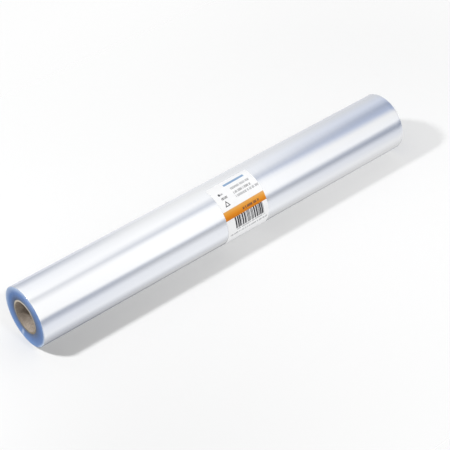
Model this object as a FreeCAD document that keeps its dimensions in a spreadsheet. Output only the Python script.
"""Roll of clear book covering film, standing on one end.

Three pieces: a paperboard core tube, the film wound on it as one solid, and the paper label that
holds the film's free edge down. Millimetres, +Z along the roll, the origin at the centre of the
bottom end. The label's middle faces -Y.
"""
import FreeCAD, Part
import math
import os

import Sketcher

DIMENSIONS = [
    # alias, value, what it is
    ("roll_length", 400, "width of the film, and length of the roll and its core"),
    ("roll_diameter", 55.3, "outside of the wound film"),
    ("film_thickness", 0.06, "one turn of film, the step at its free edge"),
    ("free_edge_angle", -155, "where the outermost turn ends, degrees about Z"),
    ("core_diameter", 31, "outside of the core tube"),
    ("core_wall", 1.5, "wall of the core tube"),
    ("winding_clearance", 0.02, "radial gap between the core and the first turn"),
    ("turn_grooves", 12, "turns of the spiral groove in each end of the winding"),
    ("groove_depth", 0.25, "how far groups of turns stand back at the ends"),
    ("label_width", 45.4, "label, along the roll"),
    ("label_length", 75, "label, around the roll"),
    ("label_thickness", 0.1, "label paper"),
    ("label_clearance", 0.02, "adhesive between the film and the label"),
    ("label_corner", 1.5, "corner radius of the label"),
    ("label_drop", 190.2, "from the roll's top end to the label's upper edge"),
    ("label_angle", -90, "middle of the label, degrees about Z"),
    ("label_skew", 1.4, "how crooked the label was stuck on, degrees"),
]

document = FreeCAD.newDocument("covering_film_roll")
sheet = document.addObject("Spreadsheet::Sheet", "dims")
for row, (alias, value, meaning) in enumerate(DIMENSIONS, start=1):
    sheet.set(f"A{row}", meaning)
    sheet.set(f"B{row}", str(value))
    sheet.setAlias(f"B{row}", alias)
document.recompute()


# ---- helpers -----------------------------------------------------------------------------------


def new_body(name):
    """A PartDesign body whose Label names its STEP file."""
    body = document.addObject("PartDesign::Body", name)
    body.Label = name
    return body


def new_sketch(body, name):
    """A sketch on the body's own XY plane."""
    sketch = body.newObject("Sketcher::SketchObject", name)
    plane = next(f for f in body.Origin.OriginFeatures if f.Role == "XY_Plane")
    sketch.AttachmentSupport = (plane, [""])
    sketch.MapMode = "FlatFace"
    return sketch


def bind(sketch, constraint, expression):
    """Add a dimension to the sketch and tie it to the spreadsheet."""
    index = sketch.addConstraint(constraint)
    sketch.setExpression(f"Constraints[{index}]", expression)


def arc(centre_x, radius, start_degrees, end_degrees):
    """An arc about a centre on the X axis."""
    circle = Part.Circle(FreeCAD.Vector(centre_x, 0, 0), FreeCAD.Vector(0, 0, 1), radius)
    return Part.ArcOfCircle(circle, math.radians(start_degrees), math.radians(end_degrees))


def circle_about_origin(sketch, expression, guess):
    """A circle on the sketch's origin with its radius tied to the spreadsheet."""
    circle = Part.Circle(FreeCAD.Vector(0, 0, 0), FreeCAD.Vector(0, 0, 1), guess)
    index = sketch.addGeometry(circle, False)
    sketch.addConstraint(Sketcher.Constraint("Coincident", index, 3, -1, 1))
    bind(sketch, Sketcher.Constraint("Radius", index, guess), expression)


# ---- core tube ---------------------------------------------------------------------------------


def make_core_tube():
    """Paperboard tube, cut square at both ends, flush with the film."""
    body = new_body("core_tube")
    section = new_sketch(body, "core_section")
    outside = sheet.core_diameter / 2
    circle_about_origin(section, "dims.core_diameter / 2", outside)
    circle_about_origin(
        section, "dims.core_diameter / 2 - dims.core_wall", outside - sheet.core_wall
    )
    tube = body.newObject("PartDesign::Pad", "tube")
    tube.Profile = section
    tube.setExpression("Length", "dims.roll_length")
    section.Visibility = False
    return body


# ---- wound film --------------------------------------------------------------------------------


def draw_winding(body):
    """Cross-section of the winding: one spiral turn outside, and the hole for the core.

    The turn is drawn from two centres. Its first half keeps the full radius about the roll's own
    axis. Its second half has a radius smaller by half a film, about a centre moved by half a film,
    so that the two halves are tangent where they meet. A whole turn falls in by one film, which is
    the step where the free edge lies, at 0 degrees of this sketch.
    """
    sketch = new_sketch(body, "winding_section")
    radius = sheet.roll_diameter / 2
    half_film = sheet.film_thickness / 2
    first, second = sketch.addGeometry(
        [arc(0, radius, 0, 180), arc(-half_film, radius - half_film, 180, 360)], False
    )
    step = sketch.addGeometry(
        Part.LineSegment(
            FreeCAD.Vector(radius - 2 * half_film, 0, 0), FreeCAD.Vector(radius, 0, 0)
        ),
        False,
    )
    sketch.addConstraint(Sketcher.Constraint("Coincident", first, 3, -1, 1))
    sketch.addConstraint(Sketcher.Constraint("PointOnObject", second, 3, -1))
    sketch.addConstraint(Sketcher.Constraint("Coincident", first, 2, second, 1))
    sketch.addConstraint(Sketcher.Constraint("PointOnObject", first, 2, -1))
    sketch.addConstraint(Sketcher.Constraint("Coincident", second, 2, step, 1))
    sketch.addConstraint(Sketcher.Constraint("Coincident", first, 1, step, 2))
    sketch.addConstraint(Sketcher.Constraint("PointOnObject", second, 2, -1))
    sketch.addConstraint(Sketcher.Constraint("PointOnObject", first, 1, -1))
    bind(sketch, Sketcher.Constraint("Radius", first, radius), "dims.roll_diameter / 2")
    bind(
        sketch,
        Sketcher.Constraint("DistanceX", second, 3, first, 3, half_film),
        "dims.film_thickness / 2",
    )
    circle_about_origin(
        sketch,
        "dims.core_diameter / 2 + dims.winding_clearance",
        sheet.core_diameter / 2 + sheet.winding_clearance,
    )
    return sketch


def draw_turn_groove(body):
    """Outline of the spiral groove that shows the turns on an end of the roll.

    Like the winding it is drawn from two centres, a quarter pitch either side of the axis, in half
    turns whose radius grows by half a pitch. It opens out clockwise seen from +Z, so that the
    winding closes in the same way round as its outermost turn.
    """
    turns = int(sheet.turn_grooves)
    inner = sheet.core_diameter / 2 + sheet.winding_clearance
    outer = sheet.roll_diameter / 2 - sheet.film_thickness
    # a land, then as many pitches as turns, of which the last keeps its groove and its land
    pitch = (outer - inner) / (turns + 1.5)
    groove = pitch / 2
    start = inner + groove + pitch / 4

    sketch = new_sketch(body, "turn_groove_outline")
    walls = []
    for half_turn in range(2 * turns):
        below = half_turn % 2 == 0
        centre_x = -pitch / 4 if below else pitch / 4
        angles = (180, 360) if below else (0, 180)
        radius = start + half_turn * pitch / 2
        walls.append(arc(centre_x, radius, *angles))
        walls.append(arc(centre_x, radius + groove, *angles))
    inner_end = start - pitch / 4
    outer_end = inner_end + turns * pitch
    for x in (inner_end, outer_end):
        walls.append(
            Part.LineSegment(FreeCAD.Vector(x, 0, 0), FreeCAD.Vector(x + groove, 0, 0))
        )
    sketch.addGeometry(walls, False)
    sketch.setExpression("AttachmentOffset.Base.z", "dims.roll_length")
    return sketch


def make_film_roll():
    """The wound film as one solid, with the edges of its turns showing at both ends."""
    body = new_body("film_roll")
    section = draw_winding(body)
    winding = body.newObject("PartDesign::Pad", "winding")
    winding.Profile = section
    winding.setExpression("Length", "dims.roll_length")
    document.recompute()

    outline = draw_turn_groove(body)
    top_groove = body.newObject("PartDesign::Pocket", "top_turn_groove")
    top_groove.Profile = outline
    top_groove.Type = "Length"
    top_groove.setExpression("Length", "dims.groove_depth")
    document.recompute()

    middle = body.newObject("PartDesign::Plane", "middle_plane")
    middle.AttachmentSupport = section.AttachmentSupport
    middle.MapMode = "FlatFace"
    middle.setExpression("AttachmentOffset.Base.z", "dims.roll_length / 2")
    bottom_groove = body.newObject("PartDesign::Mirrored", "bottom_turn_groove")
    bottom_groove.Originals = [top_groove]
    bottom_groove.MirrorPlane = (middle, [""])
    body.Tip = bottom_groove

    axis = FreeCAD.Vector(0, 0, 1)
    body.Placement = FreeCAD.Placement(
        FreeCAD.Vector(0, 0, 0), FreeCAD.Rotation(axis, sheet.free_edge_angle)
    )
    for item in (section, outline, middle):
        item.Visibility = False
    return body


# ---- label -------------------------------------------------------------------------------------


def flat_outline():
    """The label laid flat: four straight edges and four corners, as lists of points about its middle.

    A straight edge is two points and a rounded corner is a quarter circle of seven. Each point is
    (millimetres around the roll, millimetres along it), turned by the angle of the skew.
    """
    corner = sheet.label_corner
    reach = (sheet.label_length / 2 - corner, sheet.label_width / 2 - corner)
    skew = math.radians(sheet.label_skew)

    def turned(across, along):
        return (
            across * math.cos(skew) - along * math.sin(skew),
            across * math.sin(skew) + along * math.cos(skew),
        )

    corners = []
    for quarter, (side, end) in enumerate([(1, 1), (-1, 1), (-1, -1), (1, -1)]):
        angles = [math.radians(90 * quarter + 15 * step) for step in range(7)]
        corners.append(
            [
                turned(
                    side * reach[0] + corner * math.cos(angle),
                    end * reach[1] + corner * math.sin(angle),
                )
                for angle in angles
            ]
        )
    pieces = []
    for here, after in zip(corners, corners[1:] + corners[:1]):
        pieces.append(here)
        pieces.append([here[-1], after[0]])
    return pieces


def wrapped(radius):
    """The label's outline and its face on a cylinder of this radius, with its middle at 180 degrees."""
    cylinder = Part.Cylinder()
    cylinder.Radius = radius
    edges = []
    for points in flat_outline():
        on_surface = [
            FreeCAD.Base.Vector2d(math.pi + across / radius, along) for across, along in points
        ]
        if len(on_surface) == 2:
            curve = Part.Geom2d.Line2dSegment(*on_surface)
        else:
            curve = Part.Geom2d.BSplineCurve2d()
            curve.interpolate(on_surface)
        edges.append(curve.toShape(cylinder))
    wire = Part.Wire(edges)
    face = Part.Face(cylinder, wire)
    face.validate()
    return edges, face


def make_label():
    """Paper label bent to the roll: an inner and an outer face, joined all round by its cut edge."""
    inner_radius = sheet.roll_diameter / 2 + sheet.label_clearance
    inner_edges, inner_face = wrapped(inner_radius)
    outer_edges, outer_face = wrapped(inner_radius + sheet.label_thickness)
    cut_edge = [Part.makeRuledSurface(a, b) for a, b in zip(inner_edges, outer_edges)]
    shell = Part.makeShell([inner_face, outer_face] + cut_edge)
    shell.sewShape()
    paper = Part.Solid(shell)
    if paper.Volume < 0:
        paper.reverse()

    label = document.addObject("Part::Feature", "label")
    label.Label = "label"
    label.Shape = paper
    height = sheet.roll_length - sheet.label_drop - sheet.label_width / 2
    axis = FreeCAD.Vector(0, 0, 1)
    label.Placement = FreeCAD.Placement(
        FreeCAD.Vector(0, 0, height), FreeCAD.Rotation(axis, sheet.label_angle - 180)
    )
    return label


# ---- check and write ---------------------------------------------------------------------------


def write(parts):
    """Refuse anything that failed, then write one STEP file for each piece."""
    document.recompute()
    for item in document.Objects:
        if {"Invalid", "Error"} & set(item.State):
            raise RuntimeError(f"{item.Name} failed: {item.State}")
    os.makedirs("parts", exist_ok=True)
    for part in parts:
        shape = part.Shape
        if shape.isNull() or not shape.isValid() or len(shape.Solids) != 1:
            raise RuntimeError(f"{part.Label} is not one valid solid")
        shape.exportStep(f"parts/{part.Label}.step")
        box = shape.BoundBox
        print(
            f"{part.Label}: {shape.Volume / 1000:.2f} cm3, "
            f"{box.XLength:.2f} x {box.YLength:.2f} x {box.ZLength:.2f} mm, {len(shape.Faces)} faces"
        )


write([make_core_tube(), make_film_roll(), make_label()])
